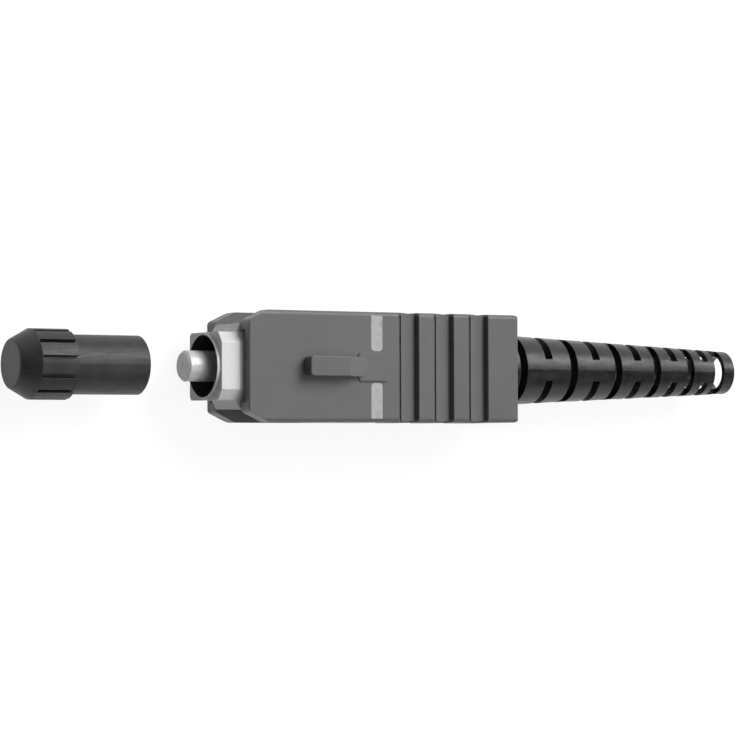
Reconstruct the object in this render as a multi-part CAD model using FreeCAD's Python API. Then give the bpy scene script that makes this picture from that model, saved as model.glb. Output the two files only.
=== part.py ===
"""SC fibre-optic plug with its dust cap pulled off, in millimetres.

Frame: the origin is on the ferrule's axis, in the plane of the plug frame's front face.
+X runs along the axis to the cable end, +Z is the side with the key, +Y is the left side.
The plug is at rest, pushed home in its outer housing, and the dust cap stands in front.
"""
import FreeCAD, Part
import math
import os

from FreeCAD import Vector

# ---------------------------------------------------------------- driving dimensions
# ferrule
FERRULE_RADIUS = 1.25
FERRULE_TIP_AHEAD = 2.1        # tip in front of the plug frame's front face
FERRULE_TIP_CHAMFER = 0.2
FERRULE_SEAT_LENGTH = 2.0      # stretch pressed into the flange
FERRULE_SEAT_TAPER = 0.03      # loss of radius over that stretch
FIBRE_HOLE_RADIUS = 0.0625
FUNNEL_RADIUS = 0.45
FUNNEL_LENGTH = 0.7

# ferrule flange and the tube behind it
COLLAR_LENGTH = 1.8
COLLAR_CLEARANCE = 0.13        # to the plug frame's spring cavity
NECK_RADIUS = 1.4
NECK_LENGTH = 4.4
KEY_NOTCHES = 4
KEY_NOTCH_DEPTH = 0.45
KEY_RIB_WIDTH = 0.5
KEY_RIB_CLEARANCE = 0.1
TUBE_RADIUS = 0.7
TUBE_WALL = 0.2
TUBE_LENGTH = 10.5
FLOAT_TRAVEL = 1.0             # how far the ferrule can be pushed back

# spring
SPRING_LENGTH = 5.2
SPRING_WIRE = 0.44
SPRING_TURNS = 5.5
SPRING_CLEARANCE = 0.02        # at each seat
SPRING_NECK_GAP = 0.26         # to the flange's neck

# plug frame
NOSE_WIDTH = 5.45
NOSE_HEIGHT = 5.6
NOSE_CORNER_Y = 0.83            # cut off the two corners on the key's side
NOSE_CORNER_Z = 0.65
NOSE_FOOT_CORNER = 0.25         # cut off the other two
NOSE_LENGTH = 1.65
NECK_BAND_LENGTH = 1.6         # lowered band behind the nose
NECK_BAND_DEPTH = 0.12
LIP_LENGTH = 0.28
LIP_WALL = 0.12
MATING_BORE_RADIUS = 2.5
MATING_BORE_DEPTH = 5.6
WEB_THICKNESS = 0.8
WEB_HOLE_RADIUS = 1.9
CAVITY_RADIUS = 2.35
EDGE_BREAK = 0.12              # small rounding of moulded edges

# latch shoulders that the adapter's hooks catch behind, and the snap bumps
LATCH_START = 1.6
LATCH_RAMP = 0.4
LATCH_TOP = 3.4
LATCH_HEIGHT = 0.72
LATCH_WIDTH = 4.1
SNAP_TOP = 0.4                 # flat stretch behind the bump's steep front
SNAP_RAMP = 1.2
SNAP_HEIGHT = 0.62
SNAP_WIDTH = 2.6
RELEASE_TRAVEL = 1.8           # how far the housing can be pulled back
END_PLAY = 0.1

# stop ring
STOP_SLEEVE_LENGTH = 1.8       # stretch inside the plug frame
STOP_SLEEVE_CLEARANCE = 0.07
STOP_FRONT_BORE_RADIUS = 1.6
STOP_FRONT_BORE_SPARE = 0.6    # room behind the flange's neck when it is pushed back
STOP_BORE_RADIUS = 1.0
STOP_FLANGE_RADIUS = 2.38
STOP_FLANGE_LENGTH = 1.0
BARREL_RADIUS = 1.5
BARREL_LENGTH = 5.3
BARREL_RINGS = 5
BARREL_RING_LENGTH = 0.44
BARREL_RING_HEIGHT = 0.12
SNAP_NUB_WIDTH = 2.0
SNAP_NUB_LENGTH = 0.7
SNAP_NUB_INSET = 0.35
SNAP_NUB_HEIGHT = 0.3
SNAP_WINDOW_CLEARANCE = 0.1

# crimp sleeve
CRIMP_CLEARANCE = 0.03
CRIMP_WALL = 0.25
CRIMP_LENGTH = 8.6
CRIMP_SETBACK = 0.3            # behind the stop ring's flange

# boot
BOOT_BASE_RADIUS = 3.0
BOOT_TIP_RADIUS = 1.88
BOOT_REACH = 23.9              # length behind the housing
BOOT_SHOULDER_DEPTH = 0.4      # wide part inside the housing's rear recess
BOOT_NECK_CLEARANCE = 0.03     # to the crimp sleeve
BOOT_NECK_WALL = 0.43
BOOT_NECK_SETBACK = 1.9        # behind the crimp sleeve's front end
CABLE_BORE_RADIUS = 1.5        # in the ring at the tip, which fits the cable
CABLE_BORE_DRAFT = 0.1         # how much wider the bore is at its other end
SLOT_WIDTH = 0.75
TIP_SLOT_WIDTH = 1.06          # the last pair, next to the ring
SLOT_COUNT = 11
FIRST_SLOT_INSET = 1.12        # from the housing's rear face
SLOT_STEP_TAPER = 0.57         # last step between slots as a share of the first
SIDE_BRIDGE_WIDTH = 1.0        # strips left at the sides by the first pair of slots, the third and so on
FACE_BRIDGE_WIDTH = 1.8        # strips left above and below by the pairs between those
END_RING_LENGTH = 1.1

# outer housing
HOUSING_SETBACK = 2.0          # behind the plug frame's front face
HOUSING_LENGTH = 25.5
HOUSING_WIDTH = 9.0
HOUSING_HEIGHT = 7.4
HOUSING_EDGE_RADIUS = 0.35
CORNER_RUN = 1.8
CORNER_DEPTH = 0.85
CORNER_FRONT_RADIUS = 0.5
CORNER_RADIUS = 0.3
GUIDE_CLEARANCE_Y = 0.175
GUIDE_CLEARANCE_Z = 0.2
CHANNEL_CLEARANCE = 0.15       # around the latch shoulders
SLOT_LENGTH = 7.0              # side windows for the adapter's hooks
CAM_START = 4.2                # cam ledges in the windows, from the front face
CAM_LENGTH = 2.4
CAM_WIDTH = 0.45
CAM_LOW = 0.25                 # height of a cam's rear stretch above the guide wall
CAM_TIP_THICKNESS = 0.3        # what is left of a cam at its front end
STOP_RIB_GAP = 0.6             # behind the window
STOP_RIB_LENGTH = 1.0
STOP_RIB_WIDTH = 3.0
STOP_RIB_CLEARANCE = 0.1       # under the rib
SHOULDER_PLAY = 0.3
REAR_CAVITY_WIDTH = 7.0
REAR_CAVITY_CLEARANCE = 0.12   # around the stop ring's flange
BOOT_CLEARANCE = 0.17

# grip grooves, key and indicator marks on the housing
GROOVE_COUNT = 3
GROOVE_PITCH = 3.37
GROOVE_RAMP = 1.75
GROOVE_DEPTH = 0.62
SCORE_LENGTH = 0.25            # fine score just ahead of each groove's ramp
SCORE_DEPTH = 0.15
SIDE_GROOVE_DEPTH = 0.16
REAR_BAND = 2.95               # from the last groove to the rear face
KEY_INSET = 5.0                # from the housing's front face
KEY_MARK_GAP = 0.45            # from the key's rear end to the marks' front edge
KEY_WIDTH = 1.6
KEY_HEIGHT = 1.15
KEY_FRONT_RADIUS = 0.35
KEY_TAIL_RADIUS = 0.7
KEY_TAIL_SLOPE = 2.2           # length over which the key's top comes down to the pad
KEY_EDGE_RADIUS = 0.08
PAD_PAST_MARKS = 0.6           # how far the pad runs behind the marks
PAD_WIDTH = 2.3
PAD_HEIGHT = 0.15
PAD_RADIUS = 0.3
MARK_GROOVE_GAP = 1.76         # from the marks' rear edge to the first grip groove
MARK_LENGTH = 1.05
MARK_PAD_GAP = 0.15            # from the pad's side to a mark's inner end
MARK_SIDE_MARGIN = 0.3         # from a mark's outer end to the housing's side
MARK_RADIUS = 0.3
MARK_DEPTH = 0.1

# dust cap
CAP_GAP = 3.88                 # from the cap's rim to the ferrule's tip
CAP_BORE_CLEARANCE = 0.05
CAP_BODY_CLEARANCE = 0.14      # in the plug frame's mating bore
CAP_BODY_LENGTH = 6.4
CAP_BORE_SPARE = 0.4           # room past the ferrule's tip when seated
CAP_SEAT_PLAY = 0.1
CAP_FIN_RADIUS = 2.785
CAP_FIN_LENGTH = 3.1
CAP_CONE_LENGTH = 1.55
CAP_END_RADIUS = 1.95
CAP_FINS = 12
CAP_GROOVE_WIDTH = 0.36
CAP_GROOVE_DEPTH = 0.4
CAP_GROOVE_PHASE = 21.0
CAP_EDGE_RADIUS = 0.25
CAP_RIM_CHAMFER = 0.15

# ---------------------------------------------------------------- stations along X
FLANGE_FRONT = MATING_BORE_DEPTH + WEB_THICKNESS
COLLAR_REAR = FLANGE_FRONT + COLLAR_LENGTH
NECK_REAR = COLLAR_REAR + NECK_LENGTH
STOP_FRONT = COLLAR_REAR + SPRING_LENGTH
FRAME_REAR = STOP_FRONT + STOP_SLEEVE_LENGTH
BARREL_FRONT = FRAME_REAR + STOP_FLANGE_LENGTH
BARREL_REAR = BARREL_FRONT + BARREL_LENGTH
CRIMP_FRONT = BARREL_FRONT + CRIMP_SETBACK
CRIMP_REAR = CRIMP_FRONT + CRIMP_LENGTH
HOUSING_FRONT = HOUSING_SETBACK
HOUSING_REAR = HOUSING_FRONT + HOUSING_LENGTH
SHOULDER = FRAME_REAR + SHOULDER_PLAY
WINDOW_REAR = HOUSING_FRONT + SLOT_LENGTH
RIB_FRONT = WINDOW_REAR + STOP_RIB_GAP
RIB_REAR = RIB_FRONT + STOP_RIB_LENGTH
SNAP_FRONT = RIB_REAR + RELEASE_TRAVEL + END_PLAY
GROOVE_FRONT = HOUSING_REAR - REAR_BAND - GROOVE_PITCH * (GROOVE_COUNT - 1) - GROOVE_RAMP
MARK_REAR = GROOVE_FRONT - MARK_GROOVE_GAP
MARK_FRONT = MARK_REAR - MARK_LENGTH
KEY_FRONT = HOUSING_FRONT + KEY_INSET
KEY_REAR = MARK_FRONT - KEY_MARK_GAP
BOOT_FRONT = CRIMP_FRONT + BOOT_NECK_SETBACK
BOOT_SHOULDER = HOUSING_REAR - BOOT_SHOULDER_DEPTH
BOOT_REAR = HOUSING_REAR + BOOT_REACH
END_RING = BOOT_REAR - END_RING_LENGTH
TIP_SLOT = END_RING - TIP_SLOT_WIDTH / 2
CAP_RIM = -FERRULE_TIP_AHEAD - CAP_GAP
CAP_SHOULDER = CAP_RIM - CAP_BODY_LENGTH
CAP_CONE = CAP_SHOULDER - CAP_FIN_LENGTH
CAP_END = CAP_CONE - CAP_CONE_LENGTH
CAP_TRAVEL = MATING_BORE_DEPTH - CAP_SEAT_PLAY - CAP_RIM

# ---------------------------------------------------------------- sizes that follow
FRAME_SIDE = NOSE_WIDTH / 2
FRAME_TOP = NOSE_HEIGHT / 2
COLLAR_RADIUS = CAVITY_RADIUS - COLLAR_CLEARANCE
SPRING_MEAN_RADIUS = NECK_RADIUS + SPRING_NECK_GAP + SPRING_WIRE / 2
CRIMP_BORE_RADIUS = BARREL_RADIUS + BARREL_RING_HEIGHT + CRIMP_CLEARANCE
CRIMP_RADIUS = CRIMP_BORE_RADIUS + CRIMP_WALL
BOOT_NECK_BORE_RADIUS = CRIMP_RADIUS + BOOT_NECK_CLEARANCE
BOOT_NECK_RADIUS = BOOT_NECK_BORE_RADIUS + BOOT_NECK_WALL
CAVITY_SIDE = FRAME_SIDE + GUIDE_CLEARANCE_Y
CAVITY_TOP = FRAME_TOP + GUIDE_CLEARANCE_Z
CHANNEL_SIDE = FRAME_SIDE + LATCH_HEIGHT + CHANNEL_CLEARANCE
CHANNEL_TOP = LATCH_WIDTH / 2 + CHANNEL_CLEARANCE
REAR_CAVITY_TOP = max(STOP_FLANGE_RADIUS, BOOT_NECK_RADIUS) + REAR_CAVITY_CLEARANCE
RECESS_RADIUS = BOOT_BASE_RADIUS + BOOT_CLEARANCE
RECESS_DEPTH = BOOT_SHOULDER_DEPTH + RELEASE_TRAVEL + END_PLAY
HOUSING_TOP = HOUSING_HEIGHT / 2
HOUSING_SIDE = HOUSING_WIDTH / 2

AXIS = Vector(1, 0, 0)
OVERRUN = 1.0                  # how far a cutting tool passes the face it opens
SAME = 1e-6                    # lengths closer than this are taken as equal


# ---------------------------------------------------------------- shared shapes
def box(x, y, z):
    """A box between two values on each axis."""
    size = [high - low for low, high in (x, y, z)]
    return Part.makeBox(*size, Vector(x[0], y[0], z[0]))


def round_bar(start, end, radius, end_radius=None):
    """A cylinder along the axis, or a cone if it ends at another radius."""
    place = Vector(start, 0, 0)
    if end_radius is None or abs(end_radius - radius) < SAME:
        return Part.makeCylinder(radius, end - start, place, AXIS)
    return Part.makeCone(radius, end_radius, end - start, place, AXIS)


def turned(profile):
    """A solid turned about the axis from (x, radius) corners."""
    points = [Vector(x, 0, radius) for x, radius in profile]
    face = Part.Face(Part.makePolygon(points + points[:1]))
    return face.revolve(Vector(0, 0, 0), AXIS, 360)


PLANES = {
    "XY": lambda u, v, level: Vector(u, v, level),
    "XZ": lambda u, v, level: Vector(u, level, v),
    "YZ": lambda u, v, level: Vector(level, u, v),
}


def prism(corners, plane, low, high):
    """A prism whose outline passes (u, v, radius) corners, each rounded by its radius."""
    place = PLANES[plane]
    bends = []
    for index, (u, v, radius) in enumerate(corners):
        corner = Vector(u, v, 0)
        back = Vector(*corners[index - 1][:2], 0) - corner
        ahead = Vector(*corners[(index + 1) % len(corners)][:2], 0) - corner
        if radius == 0:
            bends.append((corner, None, corner))
            continue
        half = back.getAngle(ahead) / 2
        back.normalize()
        ahead.normalize()
        inward = (back + ahead).normalize()
        reach = radius / math.tan(half)
        middle = corner + inward * (radius / math.sin(half) - radius)
        bends.append((corner + back * reach, middle, corner + ahead * reach))
    edges = []
    for index, (start, middle, end) in enumerate(bends):
        points = [place(p.x, p.y, low) for p in (start, middle or start, end)]
        following = bends[(index + 1) % len(bends)][0]
        onward = place(following.x, following.y, low)
        if middle:
            edges.append(Part.Arc(*points).toShape())
        if points[2].distanceToPoint(onward) > SAME:
            edges.append(Part.makeLine(points[2], onward))
    lift = place(0, 0, high - low)
    return Part.Face(Part.Wire(edges)).extrude(lift)


def mirrored(shape, normal):
    """The shape together with its mirror image through the origin's plane."""
    return [shape, shape.mirror(Vector(0, 0, 0), normal)]


def joined(base, additions):
    """One solid made of a base and what grows out of it."""
    return base.multiFuse(additions).removeSplitter()


# ---------------------------------------------------------------- ferrule assembly
def ferrule_seat(overrun=0.0):
    """The slightly tapered end that is pressed into the flange."""
    slope = FERRULE_SEAT_TAPER / FERRULE_SEAT_LENGTH
    return round_bar(
        FLANGE_FRONT - overrun,
        FLANGE_FRONT + FERRULE_SEAT_LENGTH,
        FERRULE_RADIUS + slope * overrun,
        FERRULE_RADIUS - FERRULE_SEAT_TAPER,
    )


def make_ferrule():
    tip = -FERRULE_TIP_AHEAD
    rear = FLANGE_FRONT + FERRULE_SEAT_LENGTH
    chamfer = round_bar(
        tip, tip + FERRULE_TIP_CHAMFER, FERRULE_RADIUS - FERRULE_TIP_CHAMFER, FERRULE_RADIUS
    )
    barrel = round_bar(tip + FERRULE_TIP_CHAMFER, FLANGE_FRONT, FERRULE_RADIUS)
    solid = joined(barrel, [chamfer, ferrule_seat()])
    hole = round_bar(tip - OVERRUN, rear, FIBRE_HOLE_RADIUS)
    funnel = round_bar(rear - FUNNEL_LENGTH, rear, FIBRE_HOLE_RADIUS, FUNNEL_RADIUS)
    return solid.cut([hole, funnel])


def make_ferrule_flange():
    collar = round_bar(FLANGE_FRONT, COLLAR_REAR, COLLAR_RADIUS)
    solid = joined(collar, [round_bar(COLLAR_REAR, NECK_REAR, NECK_RADIUS)])
    half = KEY_RIB_WIDTH / 2 + KEY_RIB_CLEARANCE
    notch = box(
        (FLANGE_FRONT - OVERRUN, COLLAR_REAR),
        (-half, half),
        (COLLAR_RADIUS - KEY_NOTCH_DEPTH, CAVITY_RADIUS + OVERRUN),
    )
    step = 360 / KEY_NOTCHES
    notches = [notch.rotated(Vector(0, 0, 0), AXIS, step * i) for i in range(KEY_NOTCHES)]
    passage = round_bar(FLANGE_FRONT, NECK_REAR + OVERRUN, TUBE_RADIUS)
    return solid.cut(notches + [ferrule_seat(), passage])


def make_guide_tube():
    front = FLANGE_FRONT + FERRULE_SEAT_LENGTH
    rear = front + TUBE_LENGTH
    outside = round_bar(front, rear, TUBE_RADIUS)
    return outside.cut(round_bar(front - OVERRUN, rear + OVERRUN, TUBE_RADIUS - TUBE_WALL))


def make_ferrule_spring():
    wire_radius = SPRING_WIRE / 2
    start = COLLAR_REAR + SPRING_CLEARANCE + wire_radius
    span = SPRING_LENGTH - 2 * SPRING_CLEARANCE - SPRING_WIRE
    helix = Part.makeHelix(span / SPRING_TURNS, span, SPRING_MEAN_RADIUS)
    ring = Part.makeCircle(wire_radius, Vector(SPRING_MEAN_RADIUS, 0, 0), Vector(0, 1, 0))
    coil = Part.Wire(helix.Edges).makePipeShell([Part.Wire([ring])], True, True)
    coil.rotate(Vector(0, 0, 0), Vector(0, 1, 0), 90)
    coil.translate(Vector(start, 0, 0))
    return coil


# ---------------------------------------------------------------- plug frame
def frame_section(start, end, lowered=0.0):
    """The frame's eight-sided section, with its wide faces lowered where asked."""
    top = FRAME_TOP - lowered
    left = [
        (FRAME_SIDE - NOSE_FOOT_CORNER, -top, EDGE_BREAK),
        (FRAME_SIDE, NOSE_FOOT_CORNER - FRAME_TOP, EDGE_BREAK),
        (FRAME_SIDE, FRAME_TOP - NOSE_CORNER_Z, EDGE_BREAK),
        (FRAME_SIDE - NOSE_CORNER_Y, top, EDGE_BREAK),
    ]
    return prism(left + [(-u, v, r) for u, v, r in reversed(left)], "YZ", start, end)


def latch_shoulder():
    """Shoulder on the left side, sloped at the front and upright at the back."""
    top = FRAME_SIDE + LATCH_HEIGHT
    peak = LATCH_START + LATCH_RAMP
    rear = peak + LATCH_TOP
    corners = [
        (LATCH_START, FRAME_SIDE - EDGE_BREAK, 0),
        (LATCH_START, FRAME_SIDE, 0),
        (peak, top, 0),
        (rear, top, 0),
        (rear, FRAME_SIDE - EDGE_BREAK, 0),
    ]
    return prism(corners, "XY", -LATCH_WIDTH / 2, LATCH_WIDTH / 2)


def snap_bump():
    """Bump on the left side that the housing's rib stops against, steep at the front."""
    top = FRAME_SIDE + SNAP_HEIGHT
    rear = SNAP_FRONT + SNAP_TOP + SNAP_RAMP
    corners = [
        (SNAP_FRONT, FRAME_SIDE - EDGE_BREAK, 0),
        (SNAP_FRONT, top, 0),
        (SNAP_FRONT + SNAP_TOP, top, 0),
        (rear, FRAME_SIDE, 0),
        (rear, FRAME_SIDE - EDGE_BREAK, 0),
    ]
    return prism(corners, "XY", -SNAP_WIDTH / 2, SNAP_WIDTH / 2)


def key_ribs():
    """Ribs in the spring cavity that hold the flange's notches, so that it can't turn."""
    rib = box(
        (FLANGE_FRONT, COLLAR_REAR),
        (-KEY_RIB_WIDTH / 2, KEY_RIB_WIDTH / 2),
        (COLLAR_RADIUS - KEY_NOTCH_DEPTH + KEY_RIB_CLEARANCE, CAVITY_RADIUS + KEY_RIB_CLEARANCE),
    )
    step = 360 / KEY_NOTCHES
    return [rib.rotated(Vector(0, 0, 0), AXIS, step * i) for i in range(KEY_NOTCHES)]


def snap_nub_box(clearance, outer):
    """The stop ring's upper nub, or with a clearance the window in the frame that takes it."""
    start = STOP_FRONT + SNAP_NUB_INSET
    half = SNAP_NUB_WIDTH / 2 + clearance
    inside_wall = (STOP_FRONT_BORE_RADIUS + CAVITY_RADIUS) / 2
    return box(
        (start - clearance, start + SNAP_NUB_LENGTH + clearance),
        (-half, half),
        (inside_wall, outer),
    )


def make_plug_frame():
    band_rear = NOSE_LENGTH + NECK_BAND_LENGTH
    nose = frame_section(0, NOSE_LENGTH)
    band = frame_section(NOSE_LENGTH, band_rear, NECK_BAND_DEPTH)
    body = frame_section(band_rear, FRAME_REAR)
    lip = round_bar(-LIP_LENGTH, 0, MATING_BORE_RADIUS + LIP_WALL)
    side_parts = mirrored(latch_shoulder(), Vector(0, 1, 0))
    side_parts += mirrored(snap_bump(), Vector(0, 1, 0))
    solid = joined(nose, [band, body, lip] + side_parts)
    bores = [
        round_bar(-LIP_LENGTH - OVERRUN, MATING_BORE_DEPTH, MATING_BORE_RADIUS),
        round_bar(0, FLANGE_FRONT, WEB_HOLE_RADIUS),
        round_bar(FLANGE_FRONT, FRAME_REAR + OVERRUN, CAVITY_RADIUS),
    ]
    window = snap_nub_box(SNAP_WINDOW_CLEARANCE, FRAME_TOP + OVERRUN)
    return joined(solid.cut(bores + mirrored(window, Vector(0, 0, 1))), key_ribs())


# ---------------------------------------------------------------- rear of the plug
def barrel_ring(middle):
    """A low ring, pointed in section, that the crimped fibres grip on."""
    half = BARREL_RING_LENGTH / 2
    root = BARREL_RADIUS - BARREL_RING_HEIGHT
    return turned([
        (middle - half, root),
        (middle - half, BARREL_RADIUS),
        (middle, BARREL_RADIUS + BARREL_RING_HEIGHT),
        (middle + half, BARREL_RADIUS),
        (middle + half, root),
    ])


def make_stop_ring():
    sleeve = round_bar(STOP_FRONT, FRAME_REAR, CAVITY_RADIUS - STOP_SLEEVE_CLEARANCE)
    flange = round_bar(FRAME_REAR, BARREL_FRONT, STOP_FLANGE_RADIUS)
    barrel = round_bar(BARREL_FRONT, BARREL_REAR, BARREL_RADIUS)
    pitch = BARREL_LENGTH / (BARREL_RINGS + 1)
    rings = [barrel_ring(BARREL_FRONT + pitch * (i + 1)) for i in range(BARREL_RINGS)]
    nubs = mirrored(snap_nub_box(0, CAVITY_RADIUS + SNAP_NUB_HEIGHT), Vector(0, 0, 1))
    solid = joined(sleeve, [flange, barrel] + rings + nubs)
    front_bore_depth = FLOAT_TRAVEL + STOP_FRONT_BORE_SPARE
    bores = [
        round_bar(STOP_FRONT - OVERRUN, STOP_FRONT + front_bore_depth, STOP_FRONT_BORE_RADIUS),
        round_bar(STOP_FRONT, BARREL_REAR + OVERRUN, STOP_BORE_RADIUS),
    ]
    return solid.cut(bores)


def make_crimp_sleeve():
    outside = round_bar(CRIMP_FRONT, CRIMP_REAR, CRIMP_RADIUS)
    return outside.cut(round_bar(CRIMP_FRONT - OVERRUN, CRIMP_REAR + OVERRUN, CRIMP_BORE_RADIUS))


def slot_places():
    """Middle of each slot in the boot. The steps shorten evenly towards the tip."""
    first = HOUSING_REAR + FIRST_SLOT_INSET
    last_step = SLOT_COUNT - 2
    steps = [1 - (1 - SLOT_STEP_TAPER) * i / last_step for i in range(SLOT_COUNT - 1)]
    scale = (TIP_SLOT - first) / sum(steps)
    return [first + scale * sum(steps[:i]) for i in range(SLOT_COUNT)]


def slot_pair(middle, width, bridge, turn):
    """Two facing slots with a bridge between their ends on each side."""
    reach = BOOT_BASE_RADIUS + OVERRUN
    cut = box((middle - width / 2, middle + width / 2), (-reach, reach), (bridge / 2, reach))
    return [c.rotated(Vector(0, 0, 0), AXIS, turn) for c in mirrored(cut, Vector(0, 0, 1))]


def boot_slots():
    """Slot pairs that turn by a right angle from one to the next, the last one wider."""
    cuts = []
    for index, middle in enumerate(slot_places()):
        width = TIP_SLOT_WIDTH if index == SLOT_COUNT - 1 else SLOT_WIDTH
        if index % 2 == 0:
            cuts += slot_pair(middle, width, SIDE_BRIDGE_WIDTH, 0)
        else:
            cuts += slot_pair(middle, width, FACE_BRIDGE_WIDTH, 90)
    return cuts


def make_boot():
    neck = round_bar(BOOT_FRONT, BOOT_SHOULDER, BOOT_NECK_RADIUS)
    taper = round_bar(HOUSING_REAR, BOOT_REAR, BOOT_BASE_RADIUS, BOOT_TIP_RADIUS)
    shoulder = round_bar(BOOT_SHOULDER, HOUSING_REAR, BOOT_BASE_RADIUS)
    solid = joined(neck, [shoulder, taper])
    cuts = [
        round_bar(BOOT_FRONT - OVERRUN, max(CRIMP_REAR, BOOT_SHOULDER), BOOT_NECK_BORE_RADIUS),
        round_bar(BOOT_SHOULDER, END_RING, CABLE_BORE_RADIUS + CABLE_BORE_DRAFT, CABLE_BORE_RADIUS),
        round_bar(END_RING, BOOT_REAR + OVERRUN, CABLE_BORE_RADIUS),
    ]
    return solid.cut(cuts + boot_slots())


# ---------------------------------------------------------------- outer housing
def sawtooth(level, depth, score=0.0):
    """Corners along one edge of an outline: score, ramp down to the rear, steep wall up."""
    corners = []
    for index in range(GROOVE_COUNT):
        start = GROOVE_FRONT + GROOVE_PITCH * index
        wall = start + GROOVE_RAMP
        if score:
            corners += [(start - SCORE_LENGTH, level, 0), (start, level - score, 0)]
        corners += [(start, level, 0), (wall, level - depth, 0), (wall, level, 0)]
    return corners


def closed_outline(upper):
    """An outline symmetrical about its first axis, from its upper half."""
    return upper + [(u, -v, r) for u, v, r in reversed(upper)]


def housing_block():
    """The housing's outside: what three rounded outlines, seen along each axis, share."""
    side = closed_outline(
        [(HOUSING_FRONT, HOUSING_TOP, EDGE_BREAK)]
        + sawtooth(HOUSING_TOP, GROOVE_DEPTH, SCORE_DEPTH)
        + [(HOUSING_REAR, HOUSING_TOP, EDGE_BREAK)]
    )
    plan = closed_outline(
        [
            (HOUSING_FRONT, HOUSING_SIDE - CORNER_DEPTH, CORNER_FRONT_RADIUS),
            (HOUSING_FRONT + CORNER_RUN, HOUSING_SIDE, CORNER_RADIUS),
        ]
        + sawtooth(HOUSING_SIDE, SIDE_GROOVE_DEPTH)
        + [(HOUSING_REAR, HOUSING_SIDE, CORNER_RADIUS)]
    )
    end = [
        (y, z, HOUSING_EDGE_RADIUS)
        for y, z in (
            (-HOUSING_SIDE, -HOUSING_TOP),
            (HOUSING_SIDE, -HOUSING_TOP),
            (HOUSING_SIDE, HOUSING_TOP),
            (-HOUSING_SIDE, HOUSING_TOP),
        )
    ]
    from_side = prism(side, "XZ", -HOUSING_SIDE - OVERRUN, HOUSING_SIDE + OVERRUN)
    from_above = prism(plan, "XY", -HOUSING_TOP - OVERRUN, HOUSING_TOP + OVERRUN)
    from_end = prism(end, "YZ", HOUSING_FRONT - OVERRUN, HOUSING_REAR + OVERRUN)
    return from_end.common(from_above).common(from_side)


def housing_key():
    """The key on the upper face, and the low pad behind it."""
    half = KEY_WIDTH / 2
    top = HOUSING_TOP + KEY_HEIGHT
    sunk = HOUSING_TOP - EDGE_BREAK
    outline = closed_outline([(KEY_FRONT, half, KEY_FRONT_RADIUS), (KEY_REAR, half, KEY_TAIL_RADIUS)])
    key = prism(outline, "XY", sunk, top)
    rim = [e for e in key.Edges if all(abs(v.Z - top) < SAME for v in e.Vertexes)]
    key = key.makeFillet(KEY_EDGE_RADIUS, rim)
    slope = prism(
        [
            (KEY_REAR - KEY_TAIL_SLOPE, top, 0),
            (KEY_REAR, HOUSING_TOP + PAD_HEIGHT, 0),
            (KEY_REAR + OVERRUN, HOUSING_TOP + PAD_HEIGHT, 0),
            (KEY_REAR + OVERRUN, top + OVERRUN, 0),
            (KEY_REAR - KEY_TAIL_SLOPE, top + OVERRUN, 0),
        ],
        "XZ", -half - OVERRUN, half + OVERRUN,
    )
    key = key.cut(slope)
    pad_ends = (KEY_REAR - half, MARK_REAR + PAD_PAST_MARKS)
    outline = closed_outline([(x, PAD_WIDTH / 2, PAD_RADIUS) for x in pad_ends])
    return [key, prism(outline, "XY", sunk, HOUSING_TOP + PAD_HEIGHT)]


def cam_ledge():
    """Sloped ledge at the upper edge of the left window, which lifts the adapter's hook."""
    start = HOUSING_FRONT + CAM_START
    outer = HOUSING_SIDE - CORNER_RADIUS
    corners = [
        (start, outer, 0),
        (start, outer - CAM_TIP_THICKNESS, 0),
        (start + CAM_LENGTH, CAVITY_SIDE + CAM_LOW, 0),
        (WINDOW_REAR, CAVITY_SIDE + CAM_LOW, 0),
        (WINDOW_REAR, outer, 0),
    ]
    return prism(corners, "XY", CHANNEL_TOP - CAM_WIDTH, CHANNEL_TOP + EDGE_BREAK)


def mark_recess(side):
    """What a mark's recess takes out of the upper face. side is 1 on the left and -1 on the right."""
    inner = side * (PAD_WIDTH / 2 + MARK_PAD_GAP)
    outer = side * (HOUSING_SIDE - MARK_SIDE_MARGIN)
    corners = [
        (MARK_FRONT, inner, MARK_RADIUS),
        (MARK_REAR, inner, MARK_RADIUS),
        (MARK_REAR, outer, 0),
        (MARK_FRONT, outer, 0),
    ]
    return prism(corners, "XY", HOUSING_TOP - MARK_DEPTH, HOUSING_TOP + OVERRUN)


def make_indicator_mark(side):
    """A painted bar that fills its recess, flush with the upper face."""
    return mark_recess(side).common(housing_block())


def make_outer_housing():
    ahead = HOUSING_FRONT - OVERRUN
    beside = HOUSING_SIDE + OVERRUN
    cuts = [
        box((ahead, SHOULDER), (-CAVITY_SIDE, CAVITY_SIDE), (-CAVITY_TOP, CAVITY_TOP)),
        box((ahead, SHOULDER), (-CHANNEL_SIDE, CHANNEL_SIDE), (-CHANNEL_TOP, CHANNEL_TOP)),
        box((ahead, WINDOW_REAR), (-beside, beside), (-CHANNEL_TOP, CHANNEL_TOP)),
        box(
            (SHOULDER - OVERRUN, HOUSING_REAR - RECESS_DEPTH),
            (-REAR_CAVITY_WIDTH / 2, REAR_CAVITY_WIDTH / 2),
            (-REAR_CAVITY_TOP, REAR_CAVITY_TOP),
        ),
        round_bar(HOUSING_REAR - RECESS_DEPTH, HOUSING_REAR + OVERRUN, RECESS_RADIUS),
        mark_recess(1),
        mark_recess(-1),
    ]
    solid = joined(housing_block(), housing_key()).cut(cuts)
    rib = box(
        (RIB_FRONT, RIB_REAR),
        (CAVITY_SIDE + STOP_RIB_CLEARANCE, CHANNEL_SIDE + EDGE_BREAK),
        (-STOP_RIB_WIDTH / 2, STOP_RIB_WIDTH / 2),
    )
    additions = mirrored(rib, Vector(0, 1, 0))
    for ledge in mirrored(cam_ledge(), Vector(0, 0, 1)):
        additions += mirrored(ledge, Vector(0, 1, 0))
    return joined(solid, additions)


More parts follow.
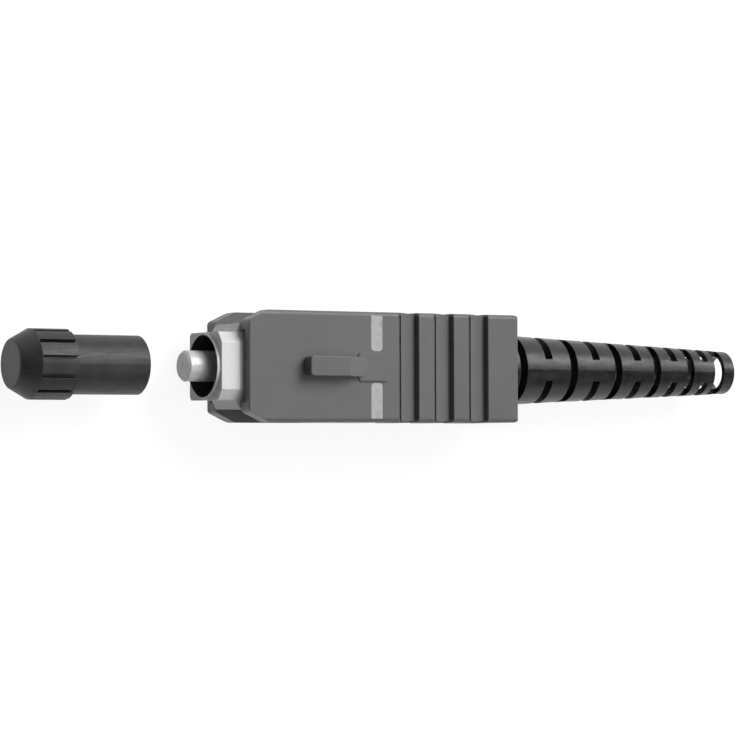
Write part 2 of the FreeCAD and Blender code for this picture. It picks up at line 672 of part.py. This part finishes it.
# ---------------------------------------------------------------- dust cap
def make_dust_cap():
    body_radius = MATING_BORE_RADIUS - CAP_BODY_CLEARANCE
    solid = turned([
        (CAP_END, 0),
        (CAP_END, CAP_END_RADIUS),
        (CAP_CONE, CAP_FIN_RADIUS),
        (CAP_SHOULDER, CAP_FIN_RADIUS),
        (CAP_SHOULDER, body_radius),
        (CAP_RIM - CAP_RIM_CHAMFER, body_radius),
        (CAP_RIM, body_radius - CAP_RIM_CHAMFER),
        (CAP_RIM, 0),
    ])
    rounded = [
        e for e in solid.Edges
        if isinstance(e.Curve, Part.Circle) and abs(e.Curve.Center.x - CAP_END) < SAME
    ]
    solid = solid.makeFillet(CAP_EDGE_RADIUS, rounded)
    ferrule_reach = CAP_RIM + CAP_TRAVEL + FERRULE_TIP_AHEAD
    bore_end = CAP_RIM - ferrule_reach - CAP_BORE_SPARE
    bore = round_bar(bore_end, CAP_RIM + OVERRUN, FERRULE_RADIUS + CAP_BORE_CLEARANCE)
    groove = box(
        (CAP_CONE, CAP_SHOULDER),
        (-CAP_GROOVE_WIDTH / 2, CAP_GROOVE_WIDTH / 2),
        (CAP_FIN_RADIUS - CAP_GROOVE_DEPTH, CAP_FIN_RADIUS + OVERRUN),
    )
    step = 360 / CAP_FINS
    grooves = [
        groove.rotated(Vector(0, 0, 0), AXIS, CAP_GROOVE_PHASE + step * i) for i in range(CAP_FINS)
    ]
    return solid.cut([bore] + grooves)


# ---------------------------------------------------------------- export
PARTS = {
    "dust_cap": make_dust_cap(),
    "ferrule": make_ferrule(),
    "ferrule_flange": make_ferrule_flange(),
    "guide_tube": make_guide_tube(),
    "ferrule_spring": make_ferrule_spring(),
    "plug_frame": make_plug_frame(),
    "stop_ring": make_stop_ring(),
    "crimp_sleeve": make_crimp_sleeve(),
    "boot": make_boot(),
    "outer_housing": make_outer_housing(),
    "indicator_mark_left": make_indicator_mark(1),
    "indicator_mark_right": make_indicator_mark(-1),
}

os.makedirs("parts", exist_ok=True)
for name, shape in PARTS.items():
    shape.exportStep(f"parts/{name}.step")
    print(name, len(shape.Solids), round(shape.Volume, 3), shape.isValid())
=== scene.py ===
"""Camera, light and procedural materials around the SC fibre connector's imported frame."""
import math

import bpy
from mathutils import Matrix, Vector


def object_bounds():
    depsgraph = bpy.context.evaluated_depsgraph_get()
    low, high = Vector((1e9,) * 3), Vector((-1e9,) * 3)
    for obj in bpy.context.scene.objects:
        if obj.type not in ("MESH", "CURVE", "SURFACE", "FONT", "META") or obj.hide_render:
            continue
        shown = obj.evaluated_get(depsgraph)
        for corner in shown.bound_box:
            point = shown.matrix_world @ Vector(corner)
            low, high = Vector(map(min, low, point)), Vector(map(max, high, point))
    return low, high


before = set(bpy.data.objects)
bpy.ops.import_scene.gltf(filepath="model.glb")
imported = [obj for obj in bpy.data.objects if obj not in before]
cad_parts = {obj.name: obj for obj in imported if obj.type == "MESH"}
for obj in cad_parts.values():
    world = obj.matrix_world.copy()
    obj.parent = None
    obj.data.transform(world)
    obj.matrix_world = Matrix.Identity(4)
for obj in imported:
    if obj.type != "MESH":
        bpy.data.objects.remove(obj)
CAD_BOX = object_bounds()

MM = 0.001                          # everything is in metres


def add_object(name, data):
    """A new object, put into the scene."""
    made = bpy.data.objects.new(name, data)
    bpy.context.scene.collection.objects.link(made)
    return made


# ------------------------------------------------------------------ camera
CAMERA_TURN = math.radians(30.278)  # about Y: the front end comes towards the camera
CAMERA_TIP = math.radians(-1.623)   # about the picture's level axis
CAMERA_ROLL = math.radians(-0.185)  # about the line of sight
CAMERA_DISTANCE = 255.166 * MM
CAMERA_TARGET = Vector((15.087 * MM, 0.028 * MM, 0))    # in the middle of the picture
SENSOR_WIDTH = 36                   # this and the lens length are plain millimetres
LENS_LENGTH = 150.799
CLIP_START = 10 * MM
CLIP_END = 5


def add_camera():
    data = bpy.data.cameras.new("camera")
    data.sensor_width = SENSOR_WIDTH
    data.lens = LENS_LENGTH
    data.clip_start = CLIP_START
    data.clip_end = CLIP_END
    turn = (
        Matrix.Rotation(-CAMERA_ROLL, 3, "Z")
        @ Matrix.Rotation(CAMERA_TIP, 3, "X")
        @ Matrix.Rotation(CAMERA_TURN, 3, "Y")
    ).transposed()
    place = CAMERA_TARGET + turn @ Vector((0, 0, CAMERA_DISTANCE))
    camera = add_object("camera", data)
    camera.matrix_world = Matrix.Translation(place) @ turn.to_4x4()
    bpy.context.scene.camera = camera


add_camera()


# ------------------------------------------------------------------ node helpers
def grey(level):
    return (level, level, level, 1)


class Nodes:
    """Adds nodes to one tree. An input is given another node's output or a plain value."""

    def __init__(self, tree):
        self.tree = tree

    def feed(self, socket, value):
        if hasattr(value, "is_output"):
            self.tree.links.new(value, socket)
        else:
            socket.default_value = value

    def add(self, kind, inputs=None, **settings):
        """Add a node. Its settings come first, since they decide which inputs it has."""
        made = self.tree.nodes.new(kind)
        for name, setting in settings.items():
            setattr(made, name, setting)
        for key, value in (inputs or {}).items():
            self.feed(made.inputs[key], value)
        return made

    def math(self, operation, first, second=0.0):
        return self.add("ShaderNodeMath", {0: first, 1: second}, operation=operation).outputs[0]

    def mix(self, factor, low, high, data_type="FLOAT"):
        inputs = {"Factor": factor, "A": low, "B": high}
        return self.add("ShaderNodeMix", inputs, data_type=data_type).outputs["Result"]

    def remap(self, value, low, high, to_low=0.0, to_high=1.0, curve="LINEAR"):
        """Stretch a value that runs from low to high so that it runs from to_low to to_high."""
        inputs = {
            "Value": value, "From Min": low, "From Max": high, "To Min": to_low, "To Max": to_high
        }
        return self.add("ShaderNodeMapRange", inputs, interpolation_type=curve).outputs["Result"]

    def ray_is(self, first, *others):
        """1 for a ray of one of these kinds, such as Camera or Glossy, and 0 for any other."""
        path = self.add("ShaderNodeLightPath").outputs
        either = path[f"Is {first} Ray"]
        for kind in others:
            either = self.math("MAXIMUM", either, path[f"Is {kind} Ray"])
        return either


class Surface(Nodes):
    """One Principled material: a plain grey and roughness, with what varies laid over them."""

    ROUGHNESS_FADE = (0.3, 0.7)     # the noise where a surface is smoothest and roughest
    EDGE_LEAN = (0.02, 0.25)        # 1 less the cosine of the lean where wear begins and is full

    def __init__(self, name, level, roughness, **plain):
        self.material = bpy.data.materials.new(name)
        self.material.use_nodes = True
        super().__init__(self.material.node_tree)
        self.shader = self.tree.nodes["Principled BSDF"].inputs
        self.color = grey(level)
        self.roughness = roughness
        self.height = 0.0
        for socket, value in {"Base Color": self.color, "Roughness": roughness, **plain}.items():
            self.feed(self.shader[socket], value)
        self.position = self.add("ShaderNodeTexCoord").outputs["Object"]

    def radius(self):
        """Distance from the ferrule's axis, which is the X axis."""
        place = self.add("ShaderNodeSeparateXYZ", {"Vector": self.position}).outputs
        squares = [self.math("MULTIPLY", place[axis], place[axis]) for axis in "YZ"]
        return self.math("SQRT", self.math("ADD", *squares))

    def noise(self, size, detail=3.0, along=1.0):
        """Noise with features about size metres across, and along times that on the X axis."""
        inputs = {"Vector": self.position, "Scale": (1 / along, 1, 1)}
        scaled = self.add("ShaderNodeMapping", inputs).outputs["Vector"]
        inputs = {"Vector": scaled, "Scale": 1 / size, "Detail": detail}
        return self.add("ShaderNodeTexNoise", inputs).outputs["Fac"]

    def rounded_normal(self, radius):
        return self.add("ShaderNodeBevel", {"Radius": radius}).outputs["Normal"]

    def tint(self, factor, level, share):
        """Lay a grey over the colour so far, by a share of the factor."""
        covered = self.math("MULTIPLY", factor, share)
        self.color = self.mix(covered, self.color, grey(level), "RGBA")
        self.feed(self.shader["Base Color"], self.color)

    def patches(self, noise, fade, level, share):
        """Tint where the noise is high. The fade is the noise where the tint begins and is full."""
        self.tint(self.remap(noise, *fade), level, share)

    def worn_edges(self, reach, level, share):
        """Tint along the edges, to about reach metres from them."""
        face = self.add("ShaderNodeNewGeometry").outputs["Normal"]
        inputs = {0: self.rounded_normal(reach), 1: face}
        lean = self.add("ShaderNodeVectorMath", inputs, operation="DOT_PRODUCT").outputs["Value"]
        worn = self.remap(lean, *(1 - limit for limit in self.EDGE_LEAN))
        self.tint(worn, level, share)

    def vary_roughness(self, noise, spread, fade=ROUGHNESS_FADE):
        """Let the roughness run by the spread to either side of its plain value."""
        varied = self.remap(noise, *fade, self.roughness - spread, self.roughness + spread)
        self.feed(self.shader["Roughness"], varied)

    def bumps(self, noise, depth):
        """Raise the surface by the noise times a depth in metres."""
        self.height = self.math("ADD", self.height, self.math("MULTIPLY", noise, depth))

    def finish(self, edge_radius=0.0):
        """Put the bumps on, with the edges rounded where a radius is given."""
        bump = self.add("ShaderNodeBump", {"Height": self.height, "Distance": 1.0})
        if edge_radius:
            self.feed(bump.inputs["Normal"], self.rounded_normal(edge_radius))
        self.feed(self.shader["Normal"], bump.outputs["Normal"])
        return self.material


# ------------------------------------------------------------------ materials of the CAD pieces
BORE_RADIUS = 2.5 * MM              # of the plug frame's mating bore
BORE_SHADE_MARGIN = 0.02 * MM             # so that the painted shade reaches the bore's own wall too


def housing_plastic():
    """Mid-grey moulded plastic with a fine spark-eroded grain, rubbed paler along its edges."""
    surface = Surface("housing_grey", level=0.150, roughness=0.40, IOR=1.45)
    shades = surface.noise(6 * MM, detail=2)
    grain = surface.noise(0.12 * MM, detail=2)
    surface.patches(shades, fade=(0.35, 0.65), level=0.170, share=0.6)
    surface.patches(grain, fade=(0.45, 0.75), level=0.2, share=0.25)
    surface.worn_edges(0.08 * MM, level=0.27, share=0.5)
    surface.vary_roughness(surface.noise(0.8 * MM, detail=4), spread=0.07)
    surface.bumps(surface.noise(0.07 * MM), depth=0.005 * MM)
    surface.bumps(surface.noise(1.2 * MM, detail=2), depth=0.004 * MM)
    return surface.finish(edge_radius=0.05 * MM)


def frame_plastic():
    """White moulded plastic, with shade painted near black over the walls of its bore."""
    surface = Surface("frame_white", level=0.92, roughness=0.325, IOR=1.5)
    surface.patches(surface.noise(1.5 * MM), fade=(0.4, 0.7), level=0.86, share=0.5)
    # painted shade: the bore's walls are tinted near black, in place of the shadow deep in the bore
    painted_bore_shade = surface.math("LESS_THAN", surface.radius(), BORE_RADIUS + BORE_SHADE_MARGIN)
    surface.tint(painted_bore_shade, level=0.03, share=0.97)
    surface.vary_roughness(surface.noise(0.5 * MM), spread=0.075)
    surface.bumps(surface.noise(0.1 * MM, detail=2), depth=0.002 * MM)
    return surface.finish(edge_radius=0.04 * MM)


def boot_plastic():
    """Black flexible plastic with a soft gloss, slightly scuffed along its length."""
    surface = Surface("boot_black", level=0.008, roughness=0.34, IOR=1.5)
    surface.patches(surface.noise(1.2 * MM, detail=4), fade=(0.45, 0.7), level=0.022, share=0.7)
    surface.worn_edges(0.06 * MM, level=0.09, share=0.35)
    scuffs = surface.noise(0.5 * MM, detail=5, along=3)
    surface.vary_roughness(scuffs, spread=0.08, fade=(0.35, 0.7))
    surface.bumps(surface.noise(0.12 * MM), depth=0.003 * MM)
    surface.bumps(surface.noise(1.6 * MM, detail=2), depth=0.010 * MM)
    return surface.finish(edge_radius=0.06 * MM)


def cap_plastic():
    """Black plastic, duller than the boot, with faint scratches along its length."""
    surface = Surface("cap_black", level=0.016, roughness=0.47, IOR=1.5)
    surface.patches(surface.noise(1.5 * MM, detail=4), fade=(0.4, 0.7), level=0.035, share=0.7)
    surface.worn_edges(0.07 * MM, level=0.1, share=0.35)
    scratches = surface.noise(0.12 * MM, detail=4, along=12)
    surface.vary_roughness(scratches, spread=0.09)
    surface.bumps(surface.noise(0.1 * MM), depth=0.004 * MM)
    surface.bumps(surface.noise(1.4 * MM, detail=2), depth=0.012 * MM)
    return surface.finish(edge_radius=0.06 * MM)


def zirconia():
    """Ground and polished white ceramic, with hair-fine grinding marks around it."""
    surface = Surface("zirconia_white", level=0.76, roughness=0.29, IOR=2.1)
    surface.patches(surface.noise(0.9 * MM), fade=(0.35, 0.7), level=0.84, share=0.5)
    rings = surface.noise(0.8 * MM, detail=2, along=0.04)
    surface.vary_roughness(rings, spread=0.07)
    surface.bumps(rings, depth=0.0006 * MM)
    return surface.finish(edge_radius=0.03 * MM)


def mark_paint(name):
    """Pale grey printed bar, a little uneven in its cover."""
    surface = Surface(name, level=0.53, roughness=0.575)
    surface.patches(surface.noise(0.5 * MM, detail=4), fade=(0.5, 0.8), level=0.38, share=0.8)
    surface.vary_roughness(surface.noise(0.3 * MM), spread=0.075)
    surface.bumps(surface.noise(0.09 * MM, detail=2), depth=0.004 * MM)
    return surface.finish()


def turned_metal(name, level, roughness):
    """Bright plated metal with the fine rings that turning leaves around it."""
    surface = Surface(name, level, roughness, Metallic=1.0)
    dulled = 0.85 * level
    surface.patches(surface.noise(0.8 * MM), fade=(0.35, 0.7), level=dulled, share=0.6)
    rings = surface.noise(1.0 * MM, along=0.05)
    surface.vary_roughness(rings, spread=0.08)
    surface.bumps(rings, depth=0.002 * MM)
    return surface.finish(edge_radius=0.03 * MM)


def drawn_wire():
    """Spring steel wire, with a trace of oil."""
    surface = Surface("spring_steel", level=0.42, roughness=0.26, Metallic=1.0)
    surface.patches(surface.noise(0.7 * MM), fade=(0.4, 0.7), level=0.28, share=0.6)
    surface.vary_roughness(surface.noise(0.2 * MM, detail=4), spread=0.08)
    surface.bumps(surface.noise(0.05 * MM, detail=2), depth=0.001 * MM)
    return surface.finish()


def tube_plastic():
    """Smooth off-white plastic tube."""
    surface = Surface("tube_white", level=0.68, roughness=0.31)
    surface.patches(surface.noise(0.8 * MM), fade=(0.4, 0.7), level=0.6, share=0.5)
    surface.vary_roughness(surface.noise(0.3 * MM), spread=0.07)
    surface.bumps(surface.noise(0.1 * MM, detail=2), depth=0.001 * MM)
    return surface.finish()


MATERIALS = {
    "outer_housing": housing_plastic(),
    "plug_frame": frame_plastic(),
    "boot": boot_plastic(),
    "dust_cap": cap_plastic(),
    "ferrule": zirconia(),
    "indicator_mark_left": mark_paint("mark_left_paint"),
    "indicator_mark_right": mark_paint("mark_right_paint"),
    "ferrule_flange": turned_metal("flange_nickel", level=0.62, roughness=0.26),
    "guide_tube": tube_plastic(),
    "ferrule_spring": drawn_wire(),
    "stop_ring": turned_metal("stop_ring_nickel", level=0.55, roughness=0.30),
    "crimp_sleeve": turned_metal("crimp_metal", level=0.66, roughness=0.32),
}
for node, material in MATERIALS.items():
    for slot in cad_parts[node].material_slots:
        slot.material = material


# ------------------------------------------------------------------ stage and light
FLOOR_REACH = 2.0                   # from the origin to each side of the floor
FLOOR_LEVEL = 0.2
FLOOR_GLOW = 0.90                   # what the camera and reflections see on top of the lit floor
SWEEP_LEVEL = 1.0                   # low around the part, in reflections
CEILING_LEVEL = 0.06                # overhead, in reflections
CEILING_FADE = (0.25, 0.6)          # a direction's Z where the sweep ends and the ceiling starts
SKY_LEVEL = 0.08                    # soft light from all round
SOFTBOXES = {
    "key_softbox": {"direction": (0.44, 0.54, 0.72), "distance": 0.5, "size": 0.36, "watts": 2.3},
    "fill_softbox": {"direction": (0.2, -0.35, 0.92), "distance": 0.6, "size": 0.4, "watts": 0.7},
}


def floor_material():
    """Pale floor that takes the part's shadow, and shows white to the camera and in reflections."""
    material = bpy.data.materials.new("floor_white")
    material.use_nodes = True
    nodes = Nodes(material.node_tree)
    nodes.tree.nodes.clear()
    lit = nodes.add("ShaderNodeBsdfDiffuse", {"Color": grey(FLOOR_LEVEL)})
    seen = nodes.ray_is("Camera", "Glossy", "Transmission")
    glow = nodes.add("ShaderNodeEmission", {"Strength": nodes.math("MULTIPLY", seen, FLOOR_GLOW)})
    both = nodes.add("ShaderNodeAddShader", {0: lit.outputs[0], 1: glow.outputs[0]})
    nodes.add("ShaderNodeOutputMaterial", {"Surface": both.outputs[0]})
    return material


def add_floor():
    """A square floor, level with the lowest point of the part."""
    low = CAD_BOX[0][2]
    corners = [(-1, -1), (1, -1), (1, 1), (-1, 1)]
    mesh = bpy.data.meshes.new("floor")
    mesh.from_pydata(
        [(x * FLOOR_REACH, y * FLOOR_REACH, low) for x, y in corners], [], [(0, 1, 2, 3)]
    )
    mesh.materials.append(floor_material())
    floor = add_object("floor", mesh)


def set_world():
    """White to the camera; white low down and dim overhead in reflections; soft and dim as light."""
    world = bpy.data.worlds.new("world")
    bpy.context.scene.world = world
    world.use_nodes = True
    nodes = Nodes(world.node_tree)
    direction = nodes.add("ShaderNodeTexCoord").outputs["Generated"]
    rise = nodes.add("ShaderNodeSeparateXYZ", {"Vector": direction}).outputs["Z"]
    overhead = nodes.remap(rise, *CEILING_FADE, curve="SMOOTHSTEP")
    room = nodes.mix(overhead, SWEEP_LEVEL, CEILING_LEVEL)
    unseen = nodes.mix(nodes.ray_is("Glossy", "Transmission"), SKY_LEVEL, room)
    background = nodes.tree.nodes["Background"].inputs
    nodes.feed(background["Color"], grey(1))
    nodes.feed(background["Strength"], nodes.mix(nodes.ray_is("Camera"), unseen, 1.0))


def add_softbox(name, direction, distance, size, watts):
    """A square lamp that shines at the camera's target from a direction."""
    data = bpy.data.lights.new(name, "AREA")
    data.size = size
    data.energy = watts
    away = Vector(direction).normalized()
    lamp = add_object(name, data)
    lamp.location = CAMERA_TARGET + away * distance
    lamp.rotation_euler = away.to_track_quat("Z", "Y").to_euler()


add_floor()
set_world()
for name, settings in SOFTBOXES.items():
    add_softbox(name, **settings)

bpy.context.scene.view_settings.view_transform = "Standard"
